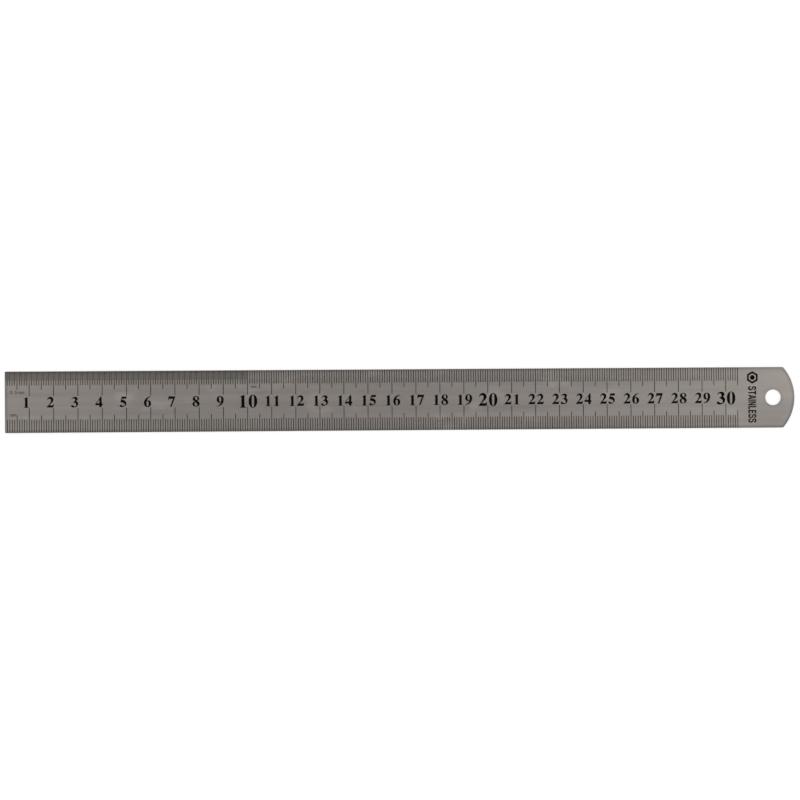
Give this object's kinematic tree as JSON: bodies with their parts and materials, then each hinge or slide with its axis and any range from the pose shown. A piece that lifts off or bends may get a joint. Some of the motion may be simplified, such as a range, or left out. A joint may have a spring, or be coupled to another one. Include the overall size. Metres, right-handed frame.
{
  "type": "steel ruler",
  "caption": "Flat stainless steel ruler with an etched, paint-filled metric scale on both long edges, a square zero end and a rounded end with a hanging hole.",
  "frame": {"origin": "zero end of the scale, on the centre line across the strip, at the back face that the ruler lies on", "axes": "+X along the strip from the zero end towards the hanging hole, so X is the reading of the scale; +Y across the strip towards the edge with the half-millimetre marks; +Z out of the etched face"},
  "size_m": [0.329, 0.0254, 0.0008],
  "materials": {
    "steel": "satin stainless steel, grained along its length",
    "marking_paint": "matt black enamel baked into the etched recesses"
  },
  "bodies": {
    "root": {"blade": "steel", "upper_half_millimetre_marks": "marking_paint", "upper_millimetre_marks": "marking_paint", "upper_five_millimetre_marks": "marking_paint", "upper_centimetre_marks": "marking_paint", "lower_millimetre_marks": "marking_paint", "lower_five_millimetre_marks": "marking_paint", "lower_centimetre_marks": "marking_paint", "numeral_01": "marking_paint", "numeral_02": "marking_paint", "numeral_03": "marking_paint", "numeral_04": "marking_paint", "numeral_05": "marking_paint", "numeral_06": "marking_paint", "numeral_07": "marking_paint", "numeral_08": "marking_paint", "numeral_09": "marking_paint", "numeral_10": "marking_paint", "numeral_11": "marking_paint", "numeral_12": "marking_paint", "numeral_13": "marking_paint", "numeral_14": "marking_paint", "numeral_15": "marking_paint", "numeral_16": "marking_paint", "numeral_17": "marking_paint", "numeral_18": "marking_paint", "numeral_19": "marking_paint", "numeral_20": "marking_paint", "numeral_21": "marking_paint", "numeral_22": "marking_paint", "numeral_23": "marking_paint", "numeral_24": "marking_paint", "numeral_25": "marking_paint", "numeral_26": "marking_paint", "numeral_27": "marking_paint", "numeral_28": "marking_paint", "numeral_29": "marking_paint", "numeral_30": "marking_paint", "legend_half_millimetre": "marking_paint", "legend_millimetre_upper": "marking_paint", "legend_millimetre_lower": "marking_paint", "steel_grade_text": "marking_paint", "hexagon_symbol": "marking_paint"}
  },
  "joints": []
}
